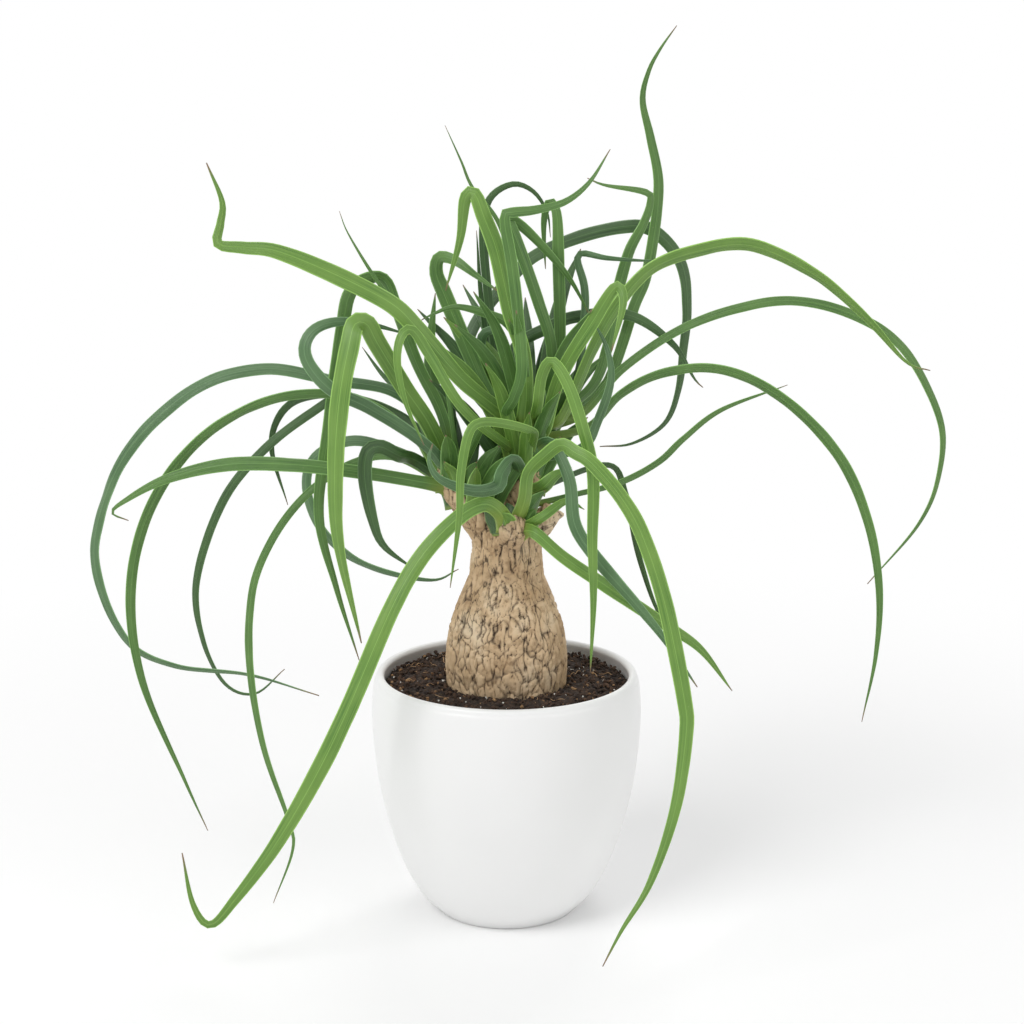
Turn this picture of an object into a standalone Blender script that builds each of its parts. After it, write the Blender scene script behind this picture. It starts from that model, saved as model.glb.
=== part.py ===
"""Potted ponytail palm: a turned pot, its soil, the swollen trunk and its strap leaves.

Units: the tables are in millimetres and MM turns them into metres.
The origin is the middle of the pot's flat underside, +Z up, and -Y is the front.
"""
import math

import bmesh
import bpy
from mathutils import Matrix, Vector

MM = 0.001
GAP = 0.3                  # clearance kept between touching pieces

POT_HEIGHT = 141.0
POT_RIM_RADIUS = 75.0
WALL = 4.0
FLOOR = 8.0
SOIL_TOP = 134.5
TRUNK_BOTTOM = 112.0
LEAF_THICKNESS = 1.0
LEAF_RISE = 0.25           # how far up its branch a leaf climbs before its first point
SEAT_MARGIN = 0.5          # keeps the leaf's lower edge clear of the branch
LEAF_STATIONS = 20
ROUND_STEPS = 48

# Outer radius of the pot at fractions of its height.
POT_SIDE = [(0.0, 41.0), (0.02, 43.5), (0.094, 52.8), (0.24, 62.6), (0.437, 70.8),
            (0.624, 75.4), (0.822, 77.4), (0.95, 76.3)]

# Radius of the trunk by height: buried root end, swollen base, neck.
TRUNK_SIDE = [(112.0, 24.0), (118.0, 30.0), (128.0, 33.6), (145.0, 34.9), (156.0, 34.3),
              (168.0, 32.4), (179.0, 28.9), (189.0, 24.8), (198.0, 21.0), (217.0, 19.4),
              (227.0, 18.5), (232.0, 14.0)]

# The growing points: lower end, upper end and radius of each short leafy branch.
BRANCHES = {
    "left": ((-8, -4, 218), (-33, -8, 258), 9.0),
    "top": ((4, 2, 215), (16, 8, 292), 9.0),
    "front": ((2, -8, 215), (4, -25, 231), 8.0),
}
CUT_STUB = ((10, 2, 212), (27, 3, 236), 7.0)

# Each leaf: name, branch, full width, roll about its length in degrees, and the route.
LEAVES = [
    ("leaf_left_01", "top", 9.0, 25, [(-7, -10, 297), (-25, -22, 314), (-47, -30, 341),
        (-62, -32, 356),
        (-92, -35, 372), (-122, -35, 384), (-140, -35, 386), (-153, -35, 388),
        (-152, -32, 398), (-151, -30, 410), (-159, -28, 430)]),
    ("leaf_left_02", "left", 2.5, 10, [(-30, -15, 288), (-36, -10, 320), (-53, -6, 342),
        (-70, -6, 364), (-86, -4, 390), (-91, -4, 403)]),
    ("leaf_left_03", "left", 7.0, -20, [(-36, -3, 290), (-50, 4, 318), (-62, 10, 350), (-68, 9, 364),
        (-77, 4, 365), (-86, -2, 358), (-90, -8, 339), (-98, -15, 284), (-104, -20, 238),
        (-95, -20, 195), (-83, -20, 153)]),
    ("leaf_left_04", "left", 9.5, 15, [(-42, -16, 286), (-55, -24, 308), (-69, -38, 335), (-74, -44, 346),
        (-80, -50, 347), (-83, -55, 336), (-88, -60, 309), (-91, -63, 271), (-90, -61, 230),
        (-79, -54, 173)]),
    ("leaf_left_05", "left", 6.5, 30, [(-44, 6, 284), (-64, 8, 302), (-98, 10, 308),
        (-136, 12, 314), (-175, 12, 303), (-213, 11, 269), (-232, 8, 228), (-234, 6, 195),
        (-218, 2, 158), (-190, -2, 144), (-147, -6, 140), (-107, -10, 129)]),
    ("leaf_left_06", "left", 5.5, -25, [(-46, -12, 274), (-70, -18, 296), (-96, -22, 305),
        (-132, -25, 301), (-168, -28, 280), (-195, -30, 244), (-208, -30, 197),
        (-204, -30, 145), (-182, -30, 85), (-170, -30, 55)]),
    ("leaf_left_07", "left", 4.8, 20, [(-46, 3, 271), (-66, 12, 287), (-92, 24, 296), (-112, 28, 286),
        (-142, 32, 262), (-166, 35, 231), (-182, 35, 185), (-179, 32, 150), (-166, 28, 124),
        (-148, 25, 119), (-130, 22, 135)]),
    ("leaf_left_08", "left", 7.0, -15, [(-44, -26, 277), (-73, -36, 299), (-93, -42, 310),
        (-105, -42, 323), (-108, -40, 334), (-102, -36, 343), (-89, -30, 346),
        (-71, -24, 343), (-53, -18, 337)]),
    ("leaf_left_09", "left", 7.0, 25, [(-47, -26, 257), (-79, -34, 264), (-113, -39, 269),
        (-150, -42, 270), (-184, -42, 262), (-208, -40, 249), (-215, -38, 242),
        (-207, -34, 237)]),
    ("leaf_left_10", "left", 4.2, 20, [(-60, -4, 266), (-85, 0, 263), (-110, -2, 247),
        (-130, -5, 223), (-143, -10, 193), (-145, -20, 153), (-137, -34, 108),
        (-122, -50, 70), (-119, -56, 54), (-130, -60, 24)]),
    ("leaf_left_11", "left", 6.0, 30, [(-46, 8, 259), (-60, 12, 266), (-86, 18, 272), (-107, 20, 264),
        (-115, 20, 248), (-109, 16, 225), (-93, 10, 208), (-72, 4, 199), (-42, -6, 196),
        (-27, -12, 204)]),
    ("leaf_left_12", "left", 7.0, 10, [(-50, -16, 267), (-58, -34, 273), (-68, -44, 280),
        (-75, -48, 277), (-76, -50, 262), (-72, -50, 240), (-66, -50, 226), (-50, -48, 213)]),
    ("leaf_left_13", "left", 4.8, -20, [(-42, 16, 268), (-60, 28, 284), (-93, 38, 294), (-118, 44, 292),
        (-132, 46, 281), (-137, 46, 261), (-128, 42, 229)]),
    ("leaf_left_14", "left", 3.5, 10, [(-38, 13, 277), (-55, 24, 294), (-70, 34, 306), (-83, 42, 322)]),
    ("leaf_left_15", "left", 7.0, -10, [(-34, 5, 284), (-42, 16, 306), (-43, 20, 326), (-40, 24, 355)]),
    ("leaf_left_16", "left", 5.0, 10, [(-32, 17, 277), (-35, 30, 302)]),
    ("leaf_left_17", "top", 5.0, 15, [(-22, -36, 298), (-41, -40, 329), (-50, -43, 343),
        (-56, -47, 340), (-58, -50, 327), (-54, -51, 306), (-44, -51, 282)]),
    ("leaf_top_01", "top", 8.0, -10, [(-5, 0, 292), (-15, 4, 310), (-25, 8, 333),
        (-35, 10, 357), (-39, 9, 368), (-37, 4, 377), (-28, -3, 376), (-16, -9, 368),
        (-4, -14, 360)]),
    ("leaf_top_02", "top", 8.0, 10, [(10, -9, 288), (11, -15, 305), (9, -20, 328),
        (2, -25, 351), (-5, -30, 383), (-12, -32, 402), (-17, -31, 414), (-22, -28, 411),
        (-25, -22, 389), (-33, -16, 361)]),
    ("leaf_top_03", "top", 5.8, -15, [(0, -14, 292), (4, -24, 303), (8, -30, 318), (7, -35, 341),
        (3, -40, 376), (-1, -42, 402), (4, -41, 405), (15, -38, 406), (31, -34, 410),
        (44, -30, 420), (55, -26, 437)]),
    ("leaf_top_04", "top", 6.0, 15, [(24, -1, 296), (25, 0, 328), (18, 2, 352), (10, 4, 375),
        (3, 5, 393), (1, 8, 398), (9, 11, 393), (23, 13, 379), (36, 15, 363), (47, 17, 343)]),
    ("leaf_top_05", "top", 2.5, 0, [(9, 18, 335), (-2, 22, 389), (-19, 24, 414),
        (-25, 24, 428), (-34, 24, 448)]),
    ("leaf_top_06", "top", 4.5, 10, [(-1, 22, 294), (-8, 28, 334), (-13, 31, 384),
        (-10, 33, 406), (3, 35, 415), (15, 37, 411), (23, 39, 399), (25, 40, 385)]),
    ("leaf_top_07", "top", 6.0, -10, [(29, 12, 296), (30, 15, 329), (29, 18, 372),
        (28, 20, 399), (24, 24, 406), (21, 28, 394), (22, 31, 368)]),
    ("leaf_top_08", "top", 4.0, 10, [(39, 20, 306), (44, 25, 340), (44, 27, 358),
        (40, 28, 373), (43, 28, 377), (56, 22, 375), (75, 18, 374), (88, 18, 374)]),
    ("leaf_top_09", "top", 7.0, -15, [(21, -10, 284), (27, -17, 308), (35, -22, 326),
        (47, -26, 346), (57, -30, 363), (61, -35, 364), (62, -39, 355), (56, -44, 332)]),
    ("leaf_top_10", "top", 6.2, 20, [(47, 17, 301), (57, 22, 323), (62, 26, 351),
        (69, 29, 377), (77, 31, 393), (81, 32, 405), (78, 31, 411), (55, 27, 415),
        (45, 25, 419)]),
    ("leaf_top_11", "top", 6.0, 15, [(52, 30, 297), (62, 37, 311), (73, 44, 344),
        (80, 48, 361), (85, 52, 388), (87, 54, 415), (82, 54, 440), (77, 52, 461),
        (80, 50, 477), (86, 48, 489), (95, 46, 502)]),
    ("leaf_top_12", "top", 7.0, -25, [(-14, 26, 292), (-25, 36, 310), (-21, 44, 329),
        (-11, 50, 345), (12, 56, 370), (37, 60, 382), (66, 63, 389), (85, 64, 387),
        (101, 60, 369), (105, 56, 343), (103, 52, 321), (100, 48, 296), (92, 44, 277),
        (73, 40, 266), (54, 36, 265)]),
    ("leaf_top_13", "top", 4.5, 10, [(8, -2, 303), (8, -2, 326), (1, -3, 341), (-11, -5, 347),
        (-28, -6, 351), (-41, -10, 347), (-47, -12, 344)]),
    ("leaf_top_14", "top", 5.0, -10, [(-6, 13, 303), (-14, 15, 320), (-13, 15, 333),
        (-4, 11, 335), (2, 7, 322), (4, 5, 314)]),
    ("leaf_top_15", "top", 3.0, 5, [(-6, 34, 300), (-14, 38, 348), (-17, 38, 389)]),
    ("leaf_right_01", "top", 7.5, 30, [(31, -2, 287), (47, -8, 326), (61, -10, 352),
        (79, -10, 372), (106, -8, 382), (135, -5, 384), (171, 0, 367), (201, 5, 342),
        (224, 10, 318), (238, 12, 313)]),
    ("leaf_right_02", "top", 5.0, -25, [(42, 8, 289), (65, 17, 313), (97, 24, 334),
        (131, 29, 346), (164, 31, 350), (199, 33, 341), (228, 33, 321), (249, 31, 282),
        (250, 30, 251), (239, 26, 222), (209, 20, 187)]),
    ("leaf_right_03", "top", 5.5, 25, [(46, -2, 283), (64, -8, 303), (89, -14, 316),
        (121, -18, 317), (154, -20, 300), (183, -22, 270), (200, -22, 234), (208, -22, 195),
        (208, -20, 156), (202, -18, 116)]),
    ("leaf_right_04", "top", 3.5, 15, [(39, -4, 245), (64, 0, 251), (86, 5, 262),
        (100, 7, 275), (121, 9, 291), (158, 11, 305)]),
    ("leaf_right_05", "top", 6.2, -15, [(3, 25, 320), (25, 26, 336), (42, 33, 341),
        (71, 34, 341), (95, 31, 325), (107, 28, 306), (112, 26, 301)]),
    ("leaf_right_06", "top", 4.5, 10, [(42, -10, 273), (50, -16, 288), (57, -20, 312),
        (55, -18, 329), (47, -12, 345)]),
    ("leaf_right_07", "top", 3.5, 20, [(57, 26, 256), (69, 32, 237), (78, 34, 198),
        (91, 34, 163), (108, 34, 147)]),
    ("leaf_front_01", "front", 7.5, 10, [(10, -33, 248), (12, -43, 265), (21, -53, 277),
        (29, -60, 284), (36, -65, 281), (45, -70, 276), (61, -77, 258), (72, -83, 238),
        (83, -91, 205), (93, -101, 157), (94, -106, 138), (88, -116, 100), (75, -126, 64),
        (60, -134, 41), (50, -139, 23)]),
    ("leaf_front_02", "top", 4.5, -10, [(15, -28, 282), (13, -46, 289), (-1, -58, 295),
        (-14, -66, 297), (-20, -70, 291), (-24, -73, 270), (-25, -74, 247), (-30, -72, 209)]),
    ("leaf_front_03", "top", 5.8, 5, [(17, -27, 300), (19, -36, 317), (24, -43, 326),
        (32, -48, 316), (40, -54, 294), (46, -58, 268), (46, -60, 232), (47, -57, 196),
        (46, -50, 155)]),
    ("leaf_front_04", "top", 6.5, 15, [(24, -18, 277), (34, -34, 260), (37, -42, 237),
        (48, -48, 220), (70, -58, 196), (86, -64, 177), (103, -70, 153)]),
    ("leaf_front_05", "front", 6.5, -20, [(15, -36, 231), (31, -40, 218), (54, -40, 202),
        (86, -42, 181), (107, -42, 166), (125, -42, 142)]),
    ("leaf_front_06", "front", 8.8, 15, [(-4, -38, 243), (-13, -47, 249), (-27, -53, 242),
        (-46, -62, 223), (-62, -71, 196), (-84, -81, 146), (-101, -87, 111), (-124, -93, 72),
        (-146, -96, 42), (-160, -96, 27), (-169, -96, 39), (-174, -95, 68)]),
    ("leaf_front_07", "front", 4.5, 0, [(19, -32, 238), (33, -26, 246), (43, -24, 241)]),
    ("leaf_front_08", "top", 7.0, 5, [(20, -14, 251), (27, -15, 258), (36, -15, 263)]),
    ("leaf_front_09", "top", 7.0, -10, [(4, -22, 268), (-2, -36, 264), (-5, -46, 258),
        (-18, -60, 259), (-35, -64, 266), (-41, -64, 276), (-39, -62, 285)]),
]

VIEW_AXIS = Vector((0.0, 1.0, 0.0))   # the faces of the leaves turn mostly to the front


def clear_scene():
    for item in list(bpy.data.objects):
        bpy.data.objects.remove(item, do_unlink=True)


def new_collection(name):
    collection = bpy.data.collections.new(name)
    bpy.context.scene.collection.children.link(collection)
    return collection


def add_material(item, name, colour, roughness):
    material = bpy.data.materials.new(name)
    material.use_nodes = True
    shader = material.node_tree.nodes["Principled BSDF"]
    shader.inputs["Base Color"].default_value = (*colour, 1.0)
    shader.inputs["Roughness"].default_value = roughness
    shader.inputs["Metallic"].default_value = 0.0
    item.data.materials.append(material)


def object_from_bmesh(mesh_data, name, collection):
    mesh = bpy.data.meshes.new(name)
    mesh_data.to_mesh(mesh)
    mesh_data.free()
    item = bpy.data.objects.new(name, mesh)
    collection.objects.link(item)
    return item


def turned(name, profile, collection):
    """Turn a closed (radius, height) profile, given from the top axis point down."""
    mesh_data = bmesh.new()
    points = [mesh_data.verts.new((r * MM, 0.0, z * MM)) for r, z in profile]
    for first, second in zip(points, points[1:]):
        mesh_data.edges.new((first, second))
    item = object_from_bmesh(mesh_data, name, collection)
    screw = item.modifiers.new("turn", "SCREW")
    screw.steps = screw.render_steps = ROUND_STEPS
    screw.use_merge_vertices = True
    screw.merge_threshold = 0.00001
    return item


def pot_radius(height):
    """Outer radius of the pot at a height, straight between the named rings."""
    rings = [(f * POT_HEIGHT, r) for f, r in POT_SIDE] + [(POT_HEIGHT, POT_RIM_RADIUS)]
    for (low, r_low), (high, r_high) in zip(rings, rings[1:]):
        if height <= high:
            return r_low + (r_high - r_low) * (height - low) / (high - low)
    return POT_RIM_RADIUS


def make_pot(collection):
    outer = [(r, f * POT_HEIGHT) for f, r in reversed(POT_SIDE)]
    rim = [(POT_RIM_RADIUS - WALL - 1.0, POT_HEIGHT - 1.6), (POT_RIM_RADIUS - 3.2, POT_HEIGHT),
           (POT_RIM_RADIUS - 1.6, POT_HEIGHT - 0.6), (POT_RIM_RADIUS, POT_HEIGHT - 3.0)]
    inner_heights = [FLOOR, 20.0, 45.0, 75.0, 100.0, 120.0, 134.0]
    inner = [(pot_radius(z) - WALL - 1.0, z) for z in inner_heights]
    profile = [(0.0, FLOOR)] + inner + rim + outer + [(0.0, 0.0)]
    pot = turned("pot", profile, collection)
    add_material(pot, "glazed_white", (0.85, 0.85, 0.84), 0.35)


def trunk_radius(height):
    for (low, r_low), (high, r_high) in zip(TRUNK_SIDE, TRUNK_SIDE[1:]):
        if height <= high:
            return r_low + (r_high - r_low) * (height - low) / (high - low)
    return TRUNK_SIDE[-1][1]


def make_soil(collection):
    wall_gap = WALL + 1.0 + GAP + 0.2
    side = [(pot_radius(z) - wall_gap, z) for z in (SOIL_TOP - 2.0, 100.0, 75.0, 45.0, 20.0)]
    bottom = FLOOR + GAP
    side.append((pot_radius(bottom) - wall_gap, bottom))
    seat = TRUNK_BOTTOM - GAP
    socket = [(0.0, seat), (TRUNK_SIDE[0][1] + GAP, seat),
              (TRUNK_SIDE[1][1] + GAP + 0.2, TRUNK_SIDE[1][0]),
              (TRUNK_SIDE[2][1] + GAP + 0.2, TRUNK_SIDE[2][0]),
              (trunk_radius(SOIL_TOP) + GAP + 0.2, SOIL_TOP)]
    crest = (50.0, SOIL_TOP + 1.0)
    soil = turned("soil", socket + [crest] + side + [(0.0, bottom)], collection)
    add_material(soil, "potting_soil", (0.03, 0.018, 0.012), 0.95)


def rod(name, low, high, radius, round_ends, collection):
    """A short round branch between two points, with domed or flat ends."""
    start, end = Vector(low), Vector(high)
    axis = end - start
    turn = Vector((0, 0, 1)).rotation_difference(axis).to_matrix().to_4x4()
    mesh_data = bmesh.new()
    if round_ends:
        for middle in (start, end):
            bmesh.ops.create_uvsphere(mesh_data, u_segments=18, v_segments=10,
                                      radius=radius * MM,
                                      matrix=Matrix.Translation(middle * MM) @ turn)
        bmesh.ops.delete(mesh_data, geom=mesh_data.edges[:], context="EDGES_FACES")
        hull = bmesh.ops.convex_hull(mesh_data, input=mesh_data.verts)
        inside = {item for item in hull["geom_interior"] if isinstance(item, bmesh.types.BMVert)}
        bmesh.ops.delete(mesh_data, geom=list(inside), context="VERTS")
    else:
        bmesh.ops.create_cone(mesh_data, cap_ends=True, segments=20, radius1=radius * MM,
                              radius2=radius * MM, depth=axis.length * MM,
                              matrix=Matrix.Translation((start + end) / 2 * MM) @ turn)
    tool = object_from_bmesh(mesh_data, name, collection)
    tool.hide_render = True
    tool.display_type = "WIRE"
    return tool


def make_trunk(collection, cutters):
    profile = [(0.0, 232.0)] + [(r, z) for z, r in reversed(TRUNK_SIDE)] + [(0.0, TRUNK_BOTTOM)]
    trunk = turned("trunk", profile, collection)
    tools = [rod("cut_stub_tool", *CUT_STUB, False, cutters)]
    for name, (low, high, radius) in BRANCHES.items():
        tools.append(rod(name + "_branch_tool", low, high, radius, True, cutters))
    for tool in tools:
        union = trunk.modifiers.new("join_" + tool.name, "BOOLEAN")
        union.operation = "UNION"
        union.object = tool
    add_material(trunk, "corky_bark", (0.56, 0.42, 0.28), 0.9)


def leaf_base(branch, first):
    """Where a leaf heading for its first route point leaves the skin of its branch."""
    low, high, radius = BRANCHES[branch]
    low, high, first = Vector(low), Vector(high), Vector(first)
    axis = high - low
    share = min(max((first - low).dot(axis) / axis.length_squared, 0.0), 1.0)
    rise = LEAF_RISE * (first - low - axis * share).length / axis.length
    core = low + axis * max(share - rise, 0.2)
    outward = (first - core).normalized()
    clear = radius + GAP + SEAT_MARGIN
    point = core.copy()
    while distance_to_segment(point, low, high) < clear:
        point += outward * 0.1
    return point


def distance_to_segment(point, low, high):
    axis = high - low
    share = min(max((point - low).dot(axis) / axis.length_squared, 0.0), 1.0)
    return (point - low - axis * share).length


def spline(points, count):
    """Evenly spread points on a Catmull-Rom curve through the route."""
    ends = [points[0] * 2 - points[1]] + points + [points[-1] * 2 - points[-2]]
    fine = []
    for a, b, c, d in zip(ends, ends[1:], ends[2:], ends[3:]):
        for step in range(12):
            t = step / 12.0
            fine.append(0.5 * ((2 * b) + (c - a) * t + (2 * a - 5 * b + 4 * c - d) * t * t
                               + (3 * b - a - 3 * c + d) * t ** 3))
    fine.append(points[-1])
    lengths = [0.0]
    for first, second in zip(fine, fine[1:]):
        lengths.append(lengths[-1] + (second - first).length)
    spread, place = [], 0
    for index in range(count):
        target = lengths[-1] * index / (count - 1)
        while place < len(fine) - 2 and lengths[place + 1] < target:
            place += 1
        span = lengths[place + 1] - lengths[place]
        spread.append(fine[place].lerp(fine[place + 1], (target - lengths[place]) / span))
    return spread


def leaf_width(share, full):
    """Narrow at the seat, full soon after, then a long taper to the tip."""
    rise = min(1.0, 0.55 + share / 0.12 * 0.45)
    taper = 1.0 if share < 0.45 else 1.0 - 0.8 * ((share - 0.45) / 0.55) ** 1.3
    return full * rise * taper


def make_leaf(name, branch, width, roll, route, collection):
    points = [leaf_base(branch, route[0])] + [Vector(point) for point in route]
    line = spline(points, LEAF_STATIONS)
    mesh_data = bmesh.new()
    rows = []
    for index, centre in enumerate(line):
        before, after = line[max(index - 1, 0)], line[min(index + 1, len(line) - 1)]
        along = (after - before).normalized()
        side = along.cross(VIEW_AXIS).normalized()
        side = Matrix.Rotation(math.radians(roll), 3, along) @ side
        half = leaf_width(index / (len(line) - 1), width) / 2
        rows.append([mesh_data.verts.new((centre + side * half * way) * MM) for way in (-1, 1)])
    for (a, b), (c, d) in zip(rows, rows[1:]):
        mesh_data.faces.new((a, b, d, c))
    leaf = object_from_bmesh(mesh_data, name, collection)
    blade = leaf.modifiers.new("blade", "SOLIDIFY")
    blade.thickness = LEAF_THICKNESS * MM
    blade.offset = 0.0
    add_material(leaf, "leaf_green", (0.09, 0.22, 0.03), 0.45)


def main():
    clear_scene()
    palm = new_collection("potted_ponytail_palm")
    cutters = new_collection("cutters")
    make_pot(palm)
    make_soil(palm)
    make_trunk(palm, cutters)
    for name, branch, width, roll, route in LEAVES:
        make_leaf(name, branch, width, roll, route, palm)


main()
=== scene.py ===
"""Looks of the potted ponytail palm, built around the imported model."""
import math
import random

import bmesh
import bpy
from mathutils import Matrix, Vector, noise


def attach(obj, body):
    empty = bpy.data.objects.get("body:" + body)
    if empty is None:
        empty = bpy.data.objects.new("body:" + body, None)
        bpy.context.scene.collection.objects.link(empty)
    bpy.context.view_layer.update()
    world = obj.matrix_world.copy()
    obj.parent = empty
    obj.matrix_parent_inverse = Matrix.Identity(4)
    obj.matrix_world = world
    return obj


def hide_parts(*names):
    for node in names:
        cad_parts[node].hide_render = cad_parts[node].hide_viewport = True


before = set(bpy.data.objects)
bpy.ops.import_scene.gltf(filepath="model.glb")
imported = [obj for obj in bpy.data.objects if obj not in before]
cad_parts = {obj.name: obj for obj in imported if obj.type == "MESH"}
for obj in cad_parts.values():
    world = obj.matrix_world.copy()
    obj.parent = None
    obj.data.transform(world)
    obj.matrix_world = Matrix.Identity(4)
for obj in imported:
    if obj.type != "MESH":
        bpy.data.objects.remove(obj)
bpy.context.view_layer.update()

MM = 0.001
random.seed(7)

# ---------------------------------------------------------------- sizes, as in the model
POT_HEIGHT = 141.0
POT_RIM_RADIUS = 75.0
WALL = 4.0
FLOOR = 8.0
SOIL_TOP = 134.5
POT_SIDE = [(0.0, 41.0), (0.02, 43.5), (0.094, 52.8), (0.24, 62.6), (0.437, 70.8),
            (0.624, 75.4), (0.822, 77.4), (0.95, 76.3)]
BRANCHES = {
    "left": ((-8, -4, 218), (-33, -8, 258), 9.0),
    "top": ((4, 2, 215), (16, 8, 292), 9.0),
    "front": ((2, -8, 215), (4, -25, 231), 8.0),
}

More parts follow.
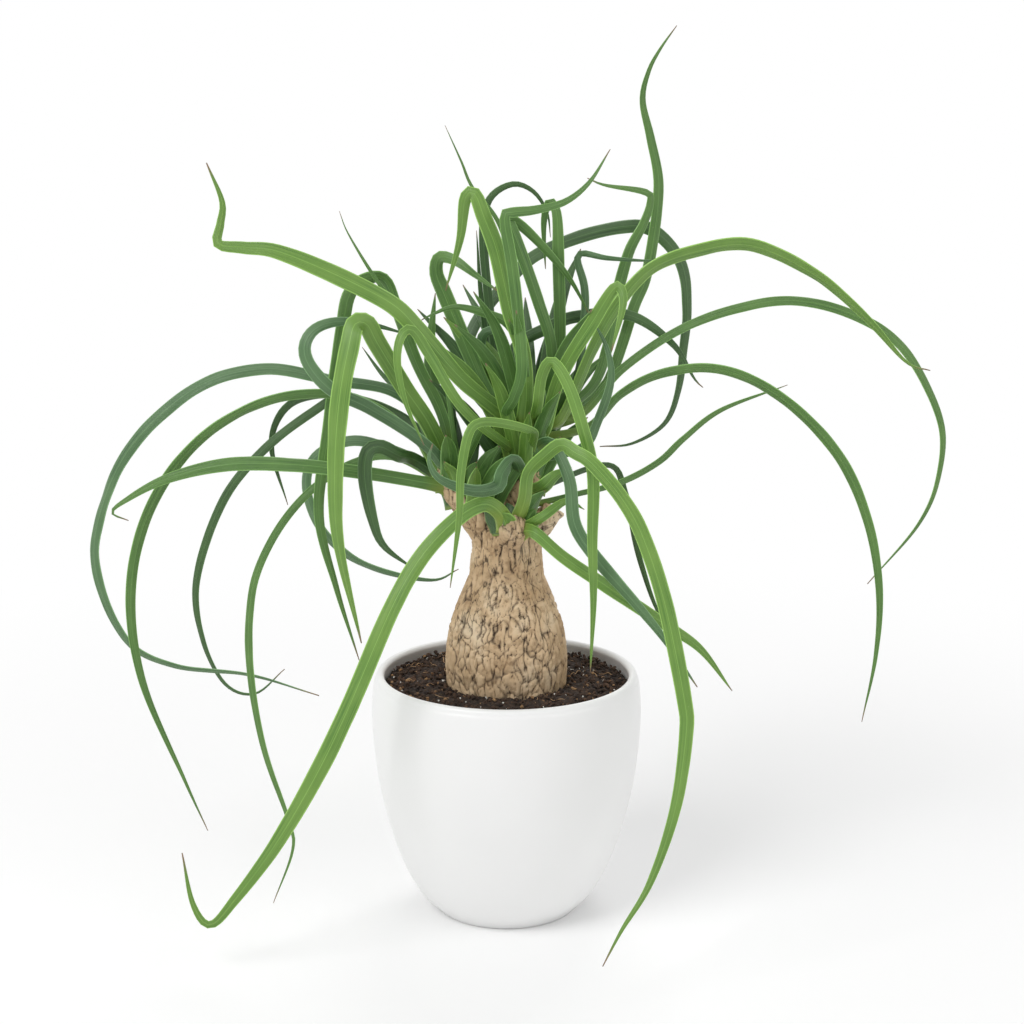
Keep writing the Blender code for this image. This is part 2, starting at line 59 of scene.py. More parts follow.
# Each leaf: name, branch, full width, roll about its length in degrees, and the route.
LEAVES = [
    ("leaf_left_01", "top", 9.0, 25, [(-7, -10, 297), (-25, -22, 314), (-47, -30, 341),
        (-62, -32, 356),
        (-92, -35, 372), (-122, -35, 384), (-140, -35, 386), (-153, -35, 388),
        (-152, -32, 398), (-151, -30, 410), (-159, -28, 430)]),
    ("leaf_left_02", "left", 2.5, 10, [(-30, -15, 288), (-36, -10, 320), (-53, -6, 342),
        (-70, -6, 364), (-86, -4, 390), (-91, -4, 403)]),
    ("leaf_left_03", "left", 7.0, -20, [(-36, -3, 290), (-50, 4, 318), (-62, 10, 350), (-68, 9, 364),
        (-77, 4, 365), (-86, -2, 358), (-90, -8, 339), (-98, -15, 284), (-104, -20, 238),
        (-95, -20, 195), (-83, -20, 153)]),
    ("leaf_left_04", "left", 9.5, 15, [(-42, -16, 286), (-55, -24, 308), (-69, -38, 335), (-74, -44, 346),
        (-80, -50, 347), (-83, -55, 336), (-88, -60, 309), (-91, -63, 271), (-90, -61, 230),
        (-79, -54, 173)]),
    ("leaf_left_05", "left", 6.5, 30, [(-44, 6, 284), (-64, 8, 302), (-98, 10, 308),
        (-136, 12, 314), (-175, 12, 303), (-213, 11, 269), (-232, 8, 228), (-234, 6, 195),
        (-218, 2, 158), (-190, -2, 144), (-147, -6, 140), (-107, -10, 129)]),
    ("leaf_left_06", "left", 5.5, -25, [(-46, -12, 274), (-70, -18, 296), (-96, -22, 305),
        (-132, -25, 301), (-168, -28, 280), (-195, -30, 244), (-208, -30, 197),
        (-204, -30, 145), (-182, -30, 85), (-170, -30, 55)]),
    ("leaf_left_07", "left", 4.8, 20, [(-46, 3, 271), (-66, 12, 287), (-92, 24, 296), (-112, 28, 286),
        (-142, 32, 262), (-166, 35, 231), (-182, 35, 185), (-179, 32, 150), (-166, 28, 124),
        (-148, 25, 119), (-130, 22, 135)]),
    ("leaf_left_08", "left", 7.0, -15, [(-44, -26, 277), (-73, -36, 299), (-93, -42, 310),
        (-105, -42, 323), (-108, -40, 334), (-102, -36, 343), (-89, -30, 346),
        (-71, -24, 343), (-53, -18, 337)]),
    ("leaf_left_09", "left", 7.0, 25, [(-47, -26, 257), (-79, -34, 264), (-113, -39, 269),
        (-150, -42, 270), (-184, -42, 262), (-208, -40, 249), (-215, -38, 242),
        (-207, -34, 237)]),
    ("leaf_left_10", "left", 4.2, 20, [(-60, -4, 266), (-85, 0, 263), (-110, -2, 247),
        (-130, -5, 223), (-143, -10, 193), (-145, -20, 153), (-137, -34, 108),
        (-122, -50, 70), (-119, -56, 54), (-130, -60, 24)]),
    ("leaf_left_11", "left", 6.0, 30, [(-46, 8, 259), (-60, 12, 266), (-86, 18, 272), (-107, 20, 264),
        (-115, 20, 248), (-109, 16, 225), (-93, 10, 208), (-72, 4, 199), (-42, -6, 196),
        (-27, -12, 204)]),
    ("leaf_left_12", "left", 7.0, 10, [(-50, -16, 267), (-58, -34, 273), (-68, -44, 280),
        (-75, -48, 277), (-76, -50, 262), (-72, -50, 240), (-66, -50, 226), (-50, -48, 213)]),
    ("leaf_left_13", "left", 4.8, -20, [(-42, 16, 268), (-60, 28, 284), (-93, 38, 294), (-118, 44, 292),
        (-132, 46, 281), (-137, 46, 261), (-128, 42, 229)]),
    ("leaf_left_14", "left", 3.5, 10, [(-38, 13, 277), (-55, 24, 294), (-70, 34, 306), (-83, 42, 322)]),
    ("leaf_left_15", "left", 7.0, -10, [(-34, 5, 284), (-42, 16, 306), (-43, 20, 326), (-40, 24, 355)]),
    ("leaf_left_16", "left", 5.0, 10, [(-32, 17, 277), (-35, 30, 302)]),
    ("leaf_left_17", "top", 5.0, 15, [(-22, -36, 298), (-41, -40, 329), (-50, -43, 343),
        (-56, -47, 340), (-58, -50, 327), (-54, -51, 306), (-44, -51, 282)]),
    ("leaf_top_01", "top", 8.0, -10, [(-5, 0, 292), (-15, 4, 310), (-25, 8, 333),
        (-35, 10, 357), (-39, 9, 368), (-37, 4, 377), (-28, -3, 376), (-16, -9, 368),
        (-4, -14, 360)]),
    ("leaf_top_02", "top", 8.0, 10, [(10, -9, 288), (11, -15, 305), (9, -20, 328),
        (2, -25, 351), (-5, -30, 383), (-12, -32, 402), (-17, -31, 414), (-22, -28, 411),
        (-25, -22, 389), (-33, -16, 361)]),
    ("leaf_top_03", "top", 5.8, -15, [(0, -14, 292), (4, -24, 303), (8, -30, 318), (7, -35, 341),
        (3, -40, 376), (-1, -42, 402), (4, -41, 405), (15, -38, 406), (31, -34, 410),
        (44, -30, 420), (55, -26, 437)]),
    ("leaf_top_04", "top", 6.0, 15, [(24, -1, 296), (25, 0, 328), (18, 2, 352), (10, 4, 375),
        (3, 5, 393), (1, 8, 398), (9, 11, 393), (23, 13, 379), (36, 15, 363), (47, 17, 343)]),
    ("leaf_top_05", "top", 2.5, 0, [(9, 18, 335), (-2, 22, 389), (-19, 24, 414),
        (-25, 24, 428), (-34, 24, 448)]),
    ("leaf_top_06", "top", 4.5, 10, [(-1, 22, 294), (-8, 28, 334), (-13, 31, 384),
        (-10, 33, 406), (3, 35, 415), (15, 37, 411), (23, 39, 399), (25, 40, 385)]),
    ("leaf_top_07", "top", 6.0, -10, [(29, 12, 296), (30, 15, 329), (29, 18, 372),
        (28, 20, 399), (24, 24, 406), (21, 28, 394), (22, 31, 368)]),
    ("leaf_top_08", "top", 4.0, 10, [(39, 20, 306), (44, 25, 340), (44, 27, 358),
        (40, 28, 373), (43, 28, 377), (56, 22, 375), (75, 18, 374), (88, 18, 374)]),
    ("leaf_top_09", "top", 7.0, -15, [(21, -10, 284), (27, -17, 308), (35, -22, 326),
        (47, -26, 346), (57, -30, 363), (61, -35, 364), (62, -39, 355), (56, -44, 332)]),
    ("leaf_top_10", "top", 6.2, 20, [(47, 17, 301), (57, 22, 323), (62, 26, 351),
        (69, 29, 377), (77, 31, 393), (81, 32, 405), (78, 31, 411), (55, 27, 415),
        (45, 25, 419)]),
    ("leaf_top_11", "top", 6.0, 15, [(52, 30, 297), (62, 37, 311), (73, 44, 344),
        (80, 48, 361), (85, 52, 388), (87, 54, 415), (82, 54, 440), (77, 52, 461),
        (80, 50, 477), (86, 48, 489), (95, 46, 502)]),
    ("leaf_top_12", "top", 7.0, -25, [(-14, 26, 292), (-25, 36, 310), (-21, 44, 329),
        (-11, 50, 345), (12, 56, 370), (37, 60, 382), (66, 63, 389), (85, 64, 387),
        (101, 60, 369), (105, 56, 343), (103, 52, 321), (100, 48, 296), (92, 44, 277),
        (73, 40, 266), (54, 36, 265)]),
    ("leaf_top_13", "top", 4.5, 10, [(8, -2, 303), (8, -2, 326), (1, -3, 341), (-11, -5, 347),
        (-28, -6, 351), (-41, -10, 347), (-47, -12, 344)]),
    ("leaf_top_14", "top", 5.0, -10, [(-6, 13, 303), (-14, 15, 320), (-13, 15, 333),
        (-4, 11, 335), (2, 7, 322), (4, 5, 314)]),
    ("leaf_top_15", "top", 3.0, 5, [(-6, 34, 300), (-14, 38, 348), (-17, 38, 389)]),
    ("leaf_right_01", "top", 7.5, 30, [(31, -2, 287), (47, -8, 326), (61, -10, 352),
        (79, -10, 372), (106, -8, 382), (135, -5, 384), (171, 0, 367), (201, 5, 342),
        (224, 10, 318), (238, 12, 313)]),
    ("leaf_right_02", "top", 5.0, -25, [(42, 8, 289), (65, 17, 313), (97, 24, 334),
        (131, 29, 346), (164, 31, 350), (199, 33, 341), (228, 33, 321), (249, 31, 282),
        (250, 30, 251), (239, 26, 222), (209, 20, 187)]),
    ("leaf_right_03", "top", 5.5, 25, [(46, -2, 283), (64, -8, 303), (89, -14, 316),
        (121, -18, 317), (154, -20, 300), (183, -22, 270), (200, -22, 234), (208, -22, 195),
        (208, -20, 156), (202, -18, 116)]),
    ("leaf_right_04", "top", 3.5, 15, [(39, -4, 245), (64, 0, 251), (86, 5, 262),
        (100, 7, 275), (121, 9, 291), (158, 11, 305)]),
    ("leaf_right_05", "top", 6.2, -15, [(3, 25, 320), (25, 26, 336), (42, 33, 341),
        (71, 34, 341), (95, 31, 325), (107, 28, 306), (112, 26, 301)]),
    ("leaf_right_06", "top", 4.5, 10, [(42, -10, 273), (50, -16, 288), (57, -20, 312),
        (55, -18, 329), (47, -12, 345)]),
    ("leaf_right_07", "top", 3.5, 20, [(57, 26, 256), (69, 32, 237), (78, 34, 198),
        (91, 34, 163), (108, 34, 147)]),
    ("leaf_front_01", "front", 7.5, 10, [(10, -33, 248), (12, -43, 265), (21, -53, 277),
        (29, -60, 284), (36, -65, 281), (45, -70, 276), (61, -77, 258), (72, -83, 238),
        (83, -91, 205), (93, -101, 157), (94, -106, 138), (88, -116, 100), (75, -126, 64),
        (60, -134, 41), (50, -139, 23)]),
    ("leaf_front_02", "top", 4.5, -10, [(15, -28, 282), (13, -46, 289), (-1, -58, 295),
        (-14, -66, 297), (-20, -70, 291), (-24, -73, 270), (-25, -74, 247), (-30, -72, 209)]),
    ("leaf_front_03", "top", 5.8, 5, [(17, -27, 300), (19, -36, 317), (24, -43, 326),
        (32, -48, 316), (40, -54, 294), (46, -58, 268), (46, -60, 232), (47, -57, 196),
        (46, -50, 155)]),
    ("leaf_front_04", "top", 6.5, 15, [(24, -18, 277), (34, -34, 260), (37, -42, 237),
        (48, -48, 220), (70, -58, 196), (86, -64, 177), (103, -70, 153)]),
    ("leaf_front_05", "front", 6.5, -20, [(15, -36, 231), (31, -40, 218), (54, -40, 202),
        (86, -42, 181), (107, -42, 166), (125, -42, 142)]),
    ("leaf_front_06", "front", 8.8, 15, [(-4, -38, 243), (-13, -47, 249), (-27, -53, 242),
        (-46, -62, 223), (-62, -71, 196), (-84, -81, 146), (-101, -87, 111), (-124, -93, 72),
        (-146, -96, 42), (-160, -96, 27), (-169, -96, 39), (-174, -95, 68)]),
    ("leaf_front_07", "front", 4.5, 0, [(19, -32, 238), (33, -26, 246), (43, -24, 241)]),
    ("leaf_front_08", "top", 7.0, 5, [(20, -14, 251), (27, -15, 258), (36, -15, 263)]),
    ("leaf_front_09", "top", 7.0, -10, [(4, -22, 268), (-2, -36, 264), (-5, -46, 258),
        (-18, -60, 259), (-35, -64, 266), (-41, -64, 276), (-39, -62, 285)]),
]

VIEW_AXIS = Vector((0.0, 1.0, 0.0))   # the faces of the leaves turn mostly to the front
BLADE_THICKNESS = 0.45
STATIONS_PER_MM = 0.32
COLUMNS = 8
GOLDEN_ANGLE = math.radians(137.5)

# Which tone each leaf has; the rest are mid green. The bright tone, mostly on the front leaves, is painted
# light; the dark tone, mostly on the leaves at the back, is painted shade; the blue tone is the leaves' own
# colour.
TONES = {
    "bright": ["leaf_front_01", "leaf_front_02", "leaf_front_03", "leaf_front_05",
               "leaf_front_06", "leaf_front_07", "leaf_front_08", "leaf_left_04",
               "leaf_left_17", "leaf_top_02", "leaf_top_09", "leaf_left_01", "leaf_right_01"],
    "dark": ["leaf_left_12", "leaf_left_13", "leaf_left_14", "leaf_left_16", "leaf_right_05",
             "leaf_right_07", "leaf_left_07", "leaf_top_15", "leaf_top_06", "leaf_top_12"],
    "blue": ["leaf_left_08", "leaf_front_04", "leaf_right_06", "leaf_left_11",
             "leaf_front_09", "leaf_top_14", "leaf_top_08", "leaf_left_05"],
}
# bright and dark are lit and shaded copies of the leaf green: painted light and painted shade
TONE_COLOURS = {
    "bright": ((0.175, 0.320, 0.055), (0.070, 0.185, 0.020)),
    "mid": ((0.115, 0.240, 0.050), (0.040, 0.120, 0.018)),
    "dark": ((0.065, 0.145, 0.038), (0.020, 0.062, 0.014)),
    "blue": ((0.115, 0.220, 0.090), (0.035, 0.105, 0.032)),
}


# ---------------------------------------------------------------- helpers
def link_object(name, mesh):
    item = bpy.data.objects.new(name, mesh)
    bpy.context.scene.collection.objects.link(item)
    return item


def finish_mesh(mesh_data, name, smooth=True):
    mesh = bpy.data.meshes.new(name)
    mesh_data.to_mesh(mesh)
    mesh_data.free()
    if smooth:
        mesh.shade_smooth()
    return link_object(name, mesh)


def node_material(name, roughness):
    material = bpy.data.materials.new(name)
    material.use_nodes = True
    tree = material.node_tree
    shader = tree.nodes["Principled BSDF"]
    shader.inputs["Roughness"].default_value = roughness
    return material, tree, shader


def add_node(tree, kind, **values):
    node = tree.nodes.new(kind)
    for key, value in values.items():
        if key in node.inputs:
            node.inputs[key].default_value = value
        else:
            setattr(node, key, value)
    return node


def ramp(tree, source, stops):
    node = tree.nodes.new("ShaderNodeValToRGB")
    elements = node.color_ramp.elements
    while len(elements) < len(stops):
        elements.new(0.5)
    for element, (place, colour) in zip(elements, stops):
        element.position = place
        element.color = (*colour, 1.0) if len(colour) == 3 else colour
    tree.links.new(source, node.inputs["Fac"])
    return node.outputs["Color"]


def mix(tree, factor, first, second, blend="MIX"):
    node = tree.nodes.new("ShaderNodeMix")
    node.data_type = "RGBA"
    node.blend_type = blend
    sockets = [node.inputs[0], node.inputs[6], node.inputs[7]]
    for socket, value in zip(sockets, (factor, first, second)):
        if hasattr(value, "is_linked"):
            tree.links.new(value, socket)
        elif isinstance(value, tuple):
            socket.default_value = (*value, 1.0)
        else:
            socket.default_value = value
    return node.outputs[2]


def bump(tree, shader, height, strength, distance):
    node = add_node(tree, "ShaderNodeBump", Strength=strength, Distance=distance)
    tree.links.new(height, node.inputs["Height"])
    tree.links.new(node.outputs["Normal"], shader.inputs["Normal"])


# ---------------------------------------------------------------- materials
def leaf_material(tone):
    light, deep = TONE_COLOURS[tone]
    material, tree, shader = node_material("leaf_" + tone, 0.36)
    shader.inputs["Specular IOR Level"].default_value = 0.5
    shader.inputs["Subsurface Weight"].default_value = 0.0
    blade = add_node(tree, "ShaderNodeUVMap", uv_map="blade")
    split = tree.nodes.new("ShaderNodeSeparateXYZ")
    tree.links.new(blade.outputs["UV"], split.inputs["Vector"])
    across, along = split.outputs["X"], split.outputs["Y"]

    stretch = add_node(tree, "ShaderNodeMapping", Scale=(34.0, 5.0, 1.0))
    tree.links.new(blade.outputs["UV"], stretch.inputs["Vector"])
    veins = add_node(tree, "ShaderNodeTexNoise", Scale=1.0, Detail=3.0)
    tree.links.new(stretch.outputs["Vector"], veins.inputs["Vector"])
    vein_share = ramp(tree, veins.outputs["Fac"], [(0.34, (0, 0, 0)), (0.66, (1, 1, 1))])
    body = mix(tree, vein_share, deep, light)

    geometry = tree.nodes.new("ShaderNodeNewGeometry")
    clouds = add_node(tree, "ShaderNodeTexNoise", Scale=38.0, Detail=2.0)
    tree.links.new(geometry.outputs["Position"], clouds.inputs["Vector"])
    cloud_share = ramp(tree, clouds.outputs["Fac"], [(0.42, (0.0, 0.0, 0.0)), (0.72, (0.65, 0.65, 0.65))])
    body = mix(tree, cloud_share, body, light)

    # pale margins and a pale midrib line
    pale = tuple(min(1.0, c * 1.9 + 0.04) for c in light)
    lines = ramp(tree, across, [(0.0, (1, 1, 1)), (0.045, (0.75, 0.75, 0.75)), (0.075, (0, 0, 0)),
                                (0.47, (0, 0, 0)), (0.5, (0.45, 0.45, 0.45)), (0.53, (0, 0, 0)),
                                (0.925, (0, 0, 0)), (0.955, (0.75, 0.75, 0.75)),
                                (1.0, (1, 1, 1))])
    body = mix(tree, lines, body, pale)
    # yellow-green sheath at the base, brown point at the tip
    base = ramp(tree, along, [(0.0, (0.85, 0.85, 0.85)), (0.10, (0.0, 0.0, 0.0))])
    body = mix(tree, base, body, (0.34, 0.46, 0.10))
    tip = ramp(tree, along, [(0.965, (0.0, 0.0, 0.0)), (0.992, (1.0, 1.0, 1.0))])
    body = mix(tree, tip, body, (0.23, 0.15, 0.08))
    specks = add_node(tree, "ShaderNodeTexVoronoi", Scale=240.0)
    tree.links.new(geometry.outputs["Position"], specks.inputs["Vector"])
    dots = ramp(tree, specks.outputs["Distance"], [(0.0, (0.5, 0.5, 0.5)), (0.07, (0, 0, 0))])
    body = mix(tree, dots, body, (0.45, 0.5, 0.25))
    tree.links.new(body, shader.inputs["Base Color"])
    bump(tree, shader, veins.outputs["Fac"], 0.5, 0.0005)
    return material


def pot_material():
    material, tree, shader = node_material("glazed_white", 0.33)
    geometry = tree.nodes.new("ShaderNodeNewGeometry")
    cloud = add_node(tree, "ShaderNodeTexNoise", Scale=9.0, Detail=3.0)
    tree.links.new(geometry.outputs["Position"], cloud.inputs["Vector"])
    colour = ramp(tree, cloud.outputs["Fac"], [(0.3, (0.83, 0.83, 0.825)), (0.7, (0.87, 0.87, 0.865))])
    tree.links.new(colour, shader.inputs["Base Color"])
    fine = add_node(tree, "ShaderNodeTexNoise", Scale=420.0, Detail=2.0)
    tree.links.new(geometry.outputs["Position"], fine.inputs["Vector"])
    bump(tree, shader, fine.outputs["Fac"], 0.06, 0.0003)
    return material


def bark_material():
    material, tree, shader = node_material("corky_bark", 0.88)
    relief = add_node(tree, "ShaderNodeAttribute", attribute_name="relief")
    geometry = tree.nodes.new("ShaderNodeNewGeometry")
    grain = add_node(tree, "ShaderNodeTexNoise", Scale=260.0, Detail=5.0)
    tree.links.new(geometry.outputs["Position"], grain.inputs["Vector"])
    patches = add_node(tree, "ShaderNodeTexNoise", Scale=55.0, Detail=3.0)
    tree.links.new(geometry.outputs["Position"], patches.inputs["Vector"])
    plates = ramp(tree, patches.outputs["Fac"], [(0.3, (0.50, 0.34, 0.19)),
                                                 (0.55, (0.68, 0.50, 0.31)),
                                                 (0.75, (0.78, 0.63, 0.44))])
    speckle = ramp(tree, grain.outputs["Fac"], [(0.32, (0.50, 0.44, 0.38)), (0.5, (1, 1, 1))])
    plates = mix(tree, 0.7, plates, speckle, "MULTIPLY")
    # painted shade: where the relief is low, in the cracks, the bark colour goes to near-black
    colour = ramp(tree, relief.outputs["Fac"], [(0.08, (0, 0, 0)), (0.30, (0.6, 0.6, 0.6)),
                                                (0.5, (1, 1, 1))])
    body = mix(tree, colour, (0.035, 0.019, 0.010), plates)
    tree.links.new(body, shader.inputs["Base Color"])
    bump(tree, shader, grain.outputs["Fac"], 0.6, 0.0008)
    return material


def speckled_material(name, dark, light, scale, roughness=0.95):
    material, tree, shader = node_material(name, roughness)
    geometry = tree.nodes.new("ShaderNodeNewGeometry")
    grain = add_node(tree, "ShaderNodeTexNoise", Scale=scale, Detail=5.0)
    tree.links.new(geometry.outputs["Position"], grain.inputs["Vector"])
    colour = ramp(tree, grain.outputs["Fac"], [(0.35, dark), (0.7, light)])
    tree.links.new(colour, shader.inputs["Base Color"])
    bump(tree, shader, grain.outputs["Fac"], 0.6, 0.0008)
    return material


# ---------------------------------------------------------------- pot
def smooth_curve(points, per_span):
    ends = [points[0] * 2 - points[1]] + points + [points[-1] * 2 - points[-2]]
    fine = []
    for a, b, c, d in zip(ends, ends[1:], ends[2:], ends[3:]):
        for step in range(per_span):
            t = step / per_span
            fine.append(0.5 * ((2 * b) + (c - a) * t + (2 * a - 5 * b + 4 * c - d) * t * t
                               + (3 * b - a - 3 * c + d) * t ** 3))
    fine.append(points[-1])
    return fine


def make_pot():
    side = [Vector((r, f * POT_HEIGHT)) for f, r in POT_SIDE] + [Vector((POT_RIM_RADIUS, POT_HEIGHT - 2.6))]
    outer = smooth_curve(side, 6)
    lip = (WALL + 1.0) / 2
    middle = POT_RIM_RADIUS - lip
    rim = [Vector((middle + lip * math.cos(a), POT_HEIGHT - lip + lip * math.sin(a)))
           for a in (math.radians(15 * k) for k in range(1, 13))]
    inner = [Vector((p.x - WALL - 1.0, p.y)) for p in reversed(outer[:-4]) if p.y > FLOOR + 4]
    profile = [Vector((0, 0.0)), Vector((39.0, 0.0))] + outer + rim + inner + [Vector((0, FLOOR))]
    mesh_data = bmesh.new()
    steps = 128
    rings = []
    for point in profile:
        if point.x == 0:
            rings.append([mesh_data.verts.new((0, 0, point.y * MM))] * steps)
            continue
        rings.append([mesh_data.verts.new((point.x * MM * math.cos(math.tau * k / steps),
                                           point.x * MM * math.sin(math.tau * k / steps),
                                           point.y * MM)) for k in range(steps)])
    for low, high in zip(rings, rings[1:]):
        for k in range(steps):
            corners = [low[k], low[(k + 1) % steps], high[(k + 1) % steps], high[k]]
            mesh_data.faces.new(list(dict.fromkeys(corners)))
    bmesh.ops.recalc_face_normals(mesh_data, faces=mesh_data.faces)
    pot = finish_mesh(mesh_data, "pot_shell")
    pot.data.materials.append(pot_material())
    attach(pot, "root")
    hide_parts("pot")


# ---------------------------------------------------------------- trunk and soil
def remeshed_copy(node, name, voxel):
    item = link_object(name, bpy.data.objects[node].data.copy())
    item.data.materials.clear()
    remesh = item.modifiers.new("fine", "REMESH")
    remesh.mode = "VOXEL"
    remesh.voxel_size = voxel
    graph = bpy.context.evaluated_depsgraph_get()
    mesh = bpy.data.meshes.new_from_object(item.evaluated_get(graph))
    item.modifiers.clear()
    item.data = mesh
    mesh.name = name
    mesh.shade_smooth()
    return item


def bark_relief(point):
    """0 in a crack, 1 on top of a corky plate; plates are taller than wide."""
    angle = math.atan2(point.y, point.x)
    radius = math.hypot(point.x, point.y)
    sway = noise.noise_vector(point * 90.0) * 0.9
    cell = Vector((angle * 6.5, point.z * 70.0, radius * 45.0)) + sway
    distances, _ = noise.voronoi(cell)
    plate = min((distances[1] - distances[0]) * 3.6 + 0.12, 1.0)
    split = abs(noise.noise(Vector((angle * 17.0, point.z * 48.0, radius * 120.0))))
    return plate * min(1.0, 0.12 + split * 8.0)


def make_trunk():
    trunk = remeshed_copy("trunk", "trunk_bark", 0.0008)
    mesh = trunk.data
    relief = mesh.attributes.new("relief", "FLOAT", "POINT")
    normals = [vertex.normal.copy() for vertex in mesh.vertices]
    for vertex, normal, value in zip(mesh.vertices, normals, relief.data):
        height = bark_relief(vertex.co)
        fine = noise.fractal(vertex.co * 700.0, 1.0, 2.0, 3) * 0.25
        # the relief also masks the painted shade in the bark cracks
        value.value = height
        vertex.co += normal * (height * 1.3 - 1.0 + fine * 0.7) * MM
    trunk.data.materials.append(bark_material())
    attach(trunk, "root")
    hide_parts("trunk")


def make_soil():
    soil = remeshed_copy("soil", "soil_bed", 0.0012)
    for vertex in soil.data.vertices:
        if vertex.co.z > (SOIL_TOP - 3.0) * MM:
            clump = noise.fractal(vertex.co * 260.0, 0.9, 2.0, 4)
            vertex.co.z += clump * 2.2 * MM
    soil.data.materials.append(speckled_material("soil", (0.010, 0.006, 0.004),
                                                 (0.055, 0.032, 0.020), 420.0))
    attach(soil, "root")
    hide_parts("soil")


def scatter_bits(name, count, sizes, material):
    """Small angular bits strewn on the soil between the trunk and the wall."""
    mesh_data = bmesh.new()
    for _ in range(count):
        radius = math.sqrt(random.uniform(35.5 ** 2, 68.0 ** 2))
        angle = random.uniform(0, math.tau)
        size = random.uniform(*sizes)
        place = Vector((radius * math.cos(angle), radius * math.sin(angle),
                        SOIL_TOP + random.uniform(0.2, 1.6)))
        turn = Matrix.Rotation(random.uniform(0, 3), 4, (random.random(), random.random(), 1))
        scale = Matrix.Diagonal((size, size * random.uniform(0.6, 1.0), size * 0.7, 1))
        new = bmesh.ops.create_icosphere(mesh_data, subdivisions=1, radius=MM,
                                         matrix=Matrix.Translation(place * MM) @ turn @ scale)
        for vertex in new["verts"]:
            vertex.co += noise.noise_vector(vertex.co * 900.0) * size * 0.35 * MM
    bits = finish_mesh(mesh_data, name, smooth=False)
    bits.data.materials.append(material)
    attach(bits, "root")


def make_crumbs():
    scatter_bits("soil_crumbs", 1500, (0.5, 1.7),
                 speckled_material("crumbs", (0.012, 0.007, 0.005), (0.10, 0.055, 0.032), 150.0))
    scatter_bits("perlite", 60, (0.4, 1.0),
                 speckled_material("perlite", (0.62, 0.60, 0.55), (0.85, 0.84, 0.80), 300.0))
    scatter_bits("bark_bits", 130, (0.6, 1.6),
                 speckled_material("bark_bits", (0.16, 0.08, 0.035), (0.42, 0.26, 0.13), 220.0))


def thread(name, points, radius, material):
    curve = bpy.data.curves.new(name, "CURVE")
    curve.dimensions = "3D"
    curve.bevel_depth = radius * MM
    curve.bevel_resolution = 2
    curve.use_fill_caps = True
    line = curve.splines.new("POLY")
    fine = smooth_curve([Vector(p) for p in points], 4)
    line.points.add(len(fine) - 1)
    for spot, place in zip(line.points, fine):
        spot.co = (*(place * MM), 1.0)
    item = bpy.data.objects.new(name, curve)
    bpy.context.scene.collection.objects.link(item)
    curve.materials.append(material)
    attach(item, "root")


def make_rootlets():
    tan = speckled_material("rootlets", (0.30, 0.17, 0.09), (0.55, 0.36, 0.20), 300.0)
    for index in range(26):
        angle = random.uniform(0, math.tau)
        radius = random.uniform(38, 62)
        spot = Vector((radius * math.cos(angle), radius * math.sin(angle), SOIL_TOP + 1.2))
        heading = random.uniform(0, math.tau)
        points = [spot]
        for _ in range(4):
            heading += random.uniform(-0.8, 0.8)
            step = Vector((math.cos(heading), math.sin(heading), 0)) * random.uniform(1.5, 3.2)
            following = points[-1] + step
            if not 36.5 < math.hypot(following.x, following.y) < 65.5:
                break
            following.z = SOIL_TOP + random.uniform(0.6, 2.4)
            points.append(following)
        if len(points) > 2:
            thread(f"rootlet_{index:02d}", points, random.uniform(0.15, 0.32), tan)


# ---------------------------------------------------------------- leaves
def leaf_core(branch, first):
    low, high, radius = BRANCHES[branch]
    low, high, first = Vector(low), Vector(high), Vector(first)
    axis = high - low
    share = min(max((first - low).dot(axis) / axis.length_squared, 0.0), 1.0)
    rise = 0.45 * (first - low - axis * share).length / axis.length
    core = low + axis * max(share - rise, 0.1)
    return core + (first - core).normalized() * (radius - 3.5)


def even_points(fine, count):
    lengths = [0.0]
    for first, second in zip(fine, fine[1:]):
        lengths.append(lengths[-1] + (second - first).length)
    spread, place = [], 0
    for index in range(count):
        target = lengths[-1] * index / (count - 1)
        while place < len(fine) - 2 and lengths[place + 1] < target:
            place += 1
        span = max(lengths[place + 1] - lengths[place], 1e-6)
        spread.append(fine[place].lerp(fine[place + 1], (target - lengths[place]) / span))
    return spread


def leaf_width(share, full, length):
    """A clasping sheath, a blade widest past the middle, then a long fine point."""
    sheath = 0.6 * math.exp(-share * length / 9.0)
    swell = 0.8 + 0.2 * min(1.0, share / 0.4)
    taper = 1.0 if share < 0.55 else max(0.0, 1.0 - ((share - 0.55) / 0.45) ** 1.5)
    return 1.12 * full * (sheath + swell) * (0.05 + 0.95 * taper)


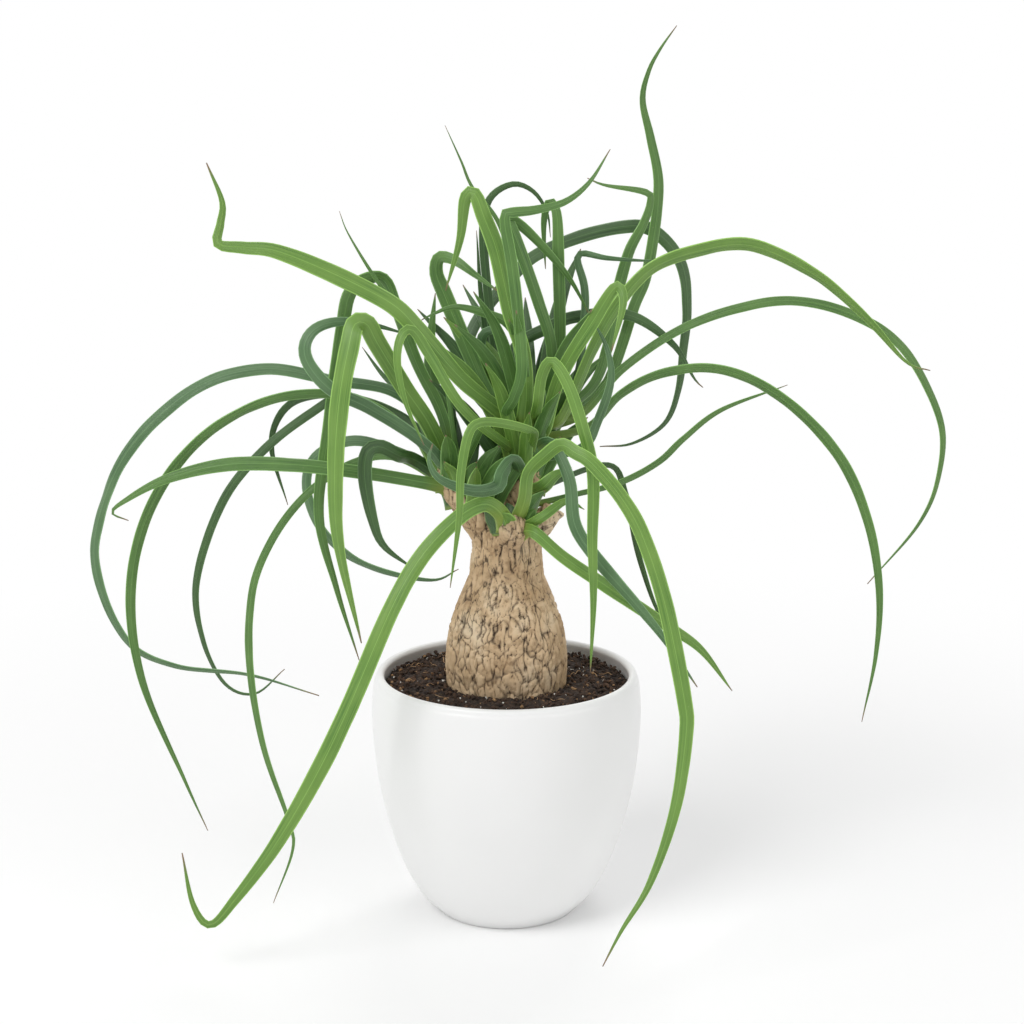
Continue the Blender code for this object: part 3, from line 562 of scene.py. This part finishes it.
def make_blade(name, points, width, roll, material):
    fine = smooth_curve(points, 16)
    length = sum((b - a).length for a, b in zip(fine, fine[1:]))
    count = max(24, int(length * STATIONS_PER_MM))
    line = even_points(fine, count)
    seed = sum(ord(letter) * place for place, letter in enumerate(name))
    mesh_data = bmesh.new()
    layer = mesh_data.loops.layers.uv.new("blade")
    rows, shares = [], []
    for index, centre in enumerate(line):
        share = index / (count - 1)
        before, after = line[max(index - 1, 0)], line[min(index + 1, count - 1)]
        along = (after - before).normalized()
        side = along.cross(VIEW_AXIS).normalized()
        sway = 14.0 * noise.noise(Vector((share * length / 60.0, seed, 0.0)))
        side = Matrix.Rotation(math.radians(roll + sway), 3, along) @ side
        face = side.cross(along).normalized()
        full = leaf_width(share, width, length)
        fold = 0.20 + 0.45 * math.exp(-share * length / 22.0)
        row = []
        for column in range(COLUMNS + 1):
            u = column / COLUMNS * 2 - 1
            dip = (abs(u) ** 1.3) * fold * full * 0.5
            ripple = 0.10 * full * abs(u) * noise.noise(Vector((share * length / 16.0, seed, u)))
            place = centre + side * (u * full / 2) + face * (dip + ripple)
            row.append(mesh_data.verts.new(place * MM))
        rows.append(row)
        shares.append(share)
    for index, (low, high) in enumerate(zip(rows, rows[1:])):
        for column in range(COLUMNS):
            face = mesh_data.faces.new((low[column], low[column + 1],
                                        high[column + 1], high[column]))
            corners = ((column, index), (column + 1, index),
                       (column + 1, index + 1), (column, index + 1))
            for loop, (c, i) in zip(face.loops, corners):
                loop[layer].uv = (c / COLUMNS, shares[i])
    leaf = finish_mesh(mesh_data, name)
    blade = leaf.modifiers.new("blade", "SOLIDIFY")
    blade.thickness = BLADE_THICKNESS * MM
    blade.offset = 0.0
    leaf.data.materials.append(material)
    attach(leaf, "root")
    return leaf


def make_sheaths(materials):
    """The short young leaves and sheaths that hide each branch: (branch, count, length)."""
    for branch, count, shortest, longest in (("top", 30, 35, 120), ("left", 20, 25, 75),
                                             ("front", 9, 14, 26)):
        low, high, radius = BRANCHES[branch]
        low, high = Vector(low), Vector(high)
        for index in range(count):
            azimuth = index * GOLDEN_ANGLE
            climb = 0.38 + 0.62 * index / count
            outward = Vector((math.cos(azimuth), math.sin(azimuth), 0.0))
            length = random.uniform(shortest, longest) * (0.7 + 0.3 * climb)
            lean = random.uniform(0.30, 0.60) * (1.25 - 0.6 * climb)
            start = low.lerp(high, climb) + outward * (radius - 1.5)
            rise = Vector((0, 0, 1)) + outward * lean
            route = [start, start + rise * length * 0.3,
                     start + rise * length * 0.62 + outward * length * 0.06,
                     start + rise * length * 0.85 + outward * length * 0.20]
            # tones cycle here regardless of place; bright and dark are the painted light and painted shade
            # copies
            tone = ("mid", "dark", "bright", "mid", "dark")[index % 5]
            make_blade(f"sheath_{branch}_{index:02d}", route, random.uniform(6.0, 8.5),
                       random.uniform(-30, 30), materials[tone])


def make_leaves():
    materials = {tone: leaf_material(tone) for tone in TONE_COLOURS}
    tone_of = {leaf: tone for tone, leaves in TONES.items() for leaf in leaves}
    for name, branch, width, roll, route in LEAVES:
        points = [leaf_core(branch, route[0])] + [Vector(point) for point in route]
        leaf = make_blade(name + "_blade", points, width, roll,
                          materials[tone_of.get(name, "mid")])
        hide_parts(name)
    make_sheaths(materials)


# ---------------------------------------------------------------- stage
def make_stage():
    mesh_data = bmesh.new()
    bmesh.ops.create_circle(mesh_data, cap_ends=True, segments=64, radius=30.0)
    floor = finish_mesh(mesh_data, "floor", smooth=False)
    floor.location.z = -0.0002
    material, tree, shader = node_material("floor_white", 0.9)
    shader.inputs["Base Color"].default_value = (0.97, 0.97, 0.97, 1.0)
    shader.inputs["Specular IOR Level"].default_value = 0.0
    geometry = tree.nodes.new("ShaderNodeNewGeometry")
    distance = add_node(tree, "ShaderNodeVectorMath", operation="LENGTH")
    tree.links.new(geometry.outputs["Position"], distance.inputs[0])
    far = tree.nodes.new("ShaderNodeMapRange")
    far.interpolation_type = "SMOOTHSTEP"
    far.inputs["From Min"].default_value = 0.30
    far.inputs["From Max"].default_value = 0.85
    tree.links.new(distance.outputs["Value"], far.inputs["Value"])
    path = tree.nodes.new("ShaderNodeLightPath")
    seen = add_node(tree, "ShaderNodeMath", operation="MAXIMUM")
    tree.links.new(path.outputs["Is Camera Ray"], seen.inputs[0])
    tree.links.new(path.outputs["Is Glossy Ray"], seen.inputs[1])
    share = add_node(tree, "ShaderNodeMath", operation="MULTIPLY")
    tree.links.new(far.outputs["Result"], share.inputs[0])
    tree.links.new(seen.outputs[0], share.inputs[1])
    white = tree.nodes.new("ShaderNodeEmission")
    blend = tree.nodes.new("ShaderNodeMixShader")
    tree.links.new(share.outputs[0], blend.inputs["Fac"])
    tree.links.new(shader.outputs["BSDF"], blend.inputs[1])
    tree.links.new(white.outputs["Emission"], blend.inputs[2])
    tree.links.new(blend.outputs["Shader"], tree.nodes["Material Output"].inputs["Surface"])
    floor.data.materials.append(material)

    world = bpy.data.worlds.new("studio")
    bpy.context.scene.world = world
    world.use_nodes = True
    tree = world.node_tree
    sky = tree.nodes["Background"]
    sky.inputs["Color"].default_value = (1.0, 1.0, 1.0, 1.0)
    path = tree.nodes.new("ShaderNodeLightPath")
    seen = tree.nodes.new("ShaderNodeMath")
    seen.operation = "MAXIMUM"
    tree.links.new(path.outputs["Is Camera Ray"], seen.inputs[0])
    tree.links.new(path.outputs["Is Glossy Ray"], seen.inputs[1])
    level = tree.nodes.new("ShaderNodeMapRange")
    level.inputs["To Min"].default_value = 0.62
    level.inputs["To Max"].default_value = 1.0
    tree.links.new(seen.outputs[0], level.inputs["Value"])
    tree.links.new(level.outputs["Result"], sky.inputs["Strength"])

    for name, place, size, power in (("key", (-1.3, -1.3, 1.9), 1.2, 26.0),
                                     ("fill", (1.6, -1.0, 1.2), 1.5, 6.0),
                                     ("back", (0.3, 1.6, 1.8), 1.2, 9.0)):
        data = bpy.data.lights.new(name, "AREA")
        data.size = size
        data.energy = power
        lamp = bpy.data.objects.new(name, data)
        bpy.context.scene.collection.objects.link(lamp)
        lamp.location = place
        aim = Vector((0, 0, 0.22)) - Vector(place)
        lamp.rotation_euler = aim.to_track_quat("-Z", "Y").to_euler()


def make_camera():
    data = bpy.data.cameras.new("camera")
    data.sensor_width = 36.0
    data.lens = 71.1
    data.shift_x = 0.0054
    data.clip_end = 100.0
    camera = bpy.data.objects.new("camera", data)
    bpy.context.scene.collection.objects.link(camera)
    camera.location = (0.0, -1.114, 0.483)
    camera.rotation_euler = (math.radians(90 - 12.59), 0.0, 0.0)
    bpy.context.scene.camera = camera


make_camera()
make_stage()
make_pot()
make_trunk()
make_soil()
make_crumbs()
make_rootlets()
make_leaves()
bpy.context.scene.view_settings.view_transform = "Standard"
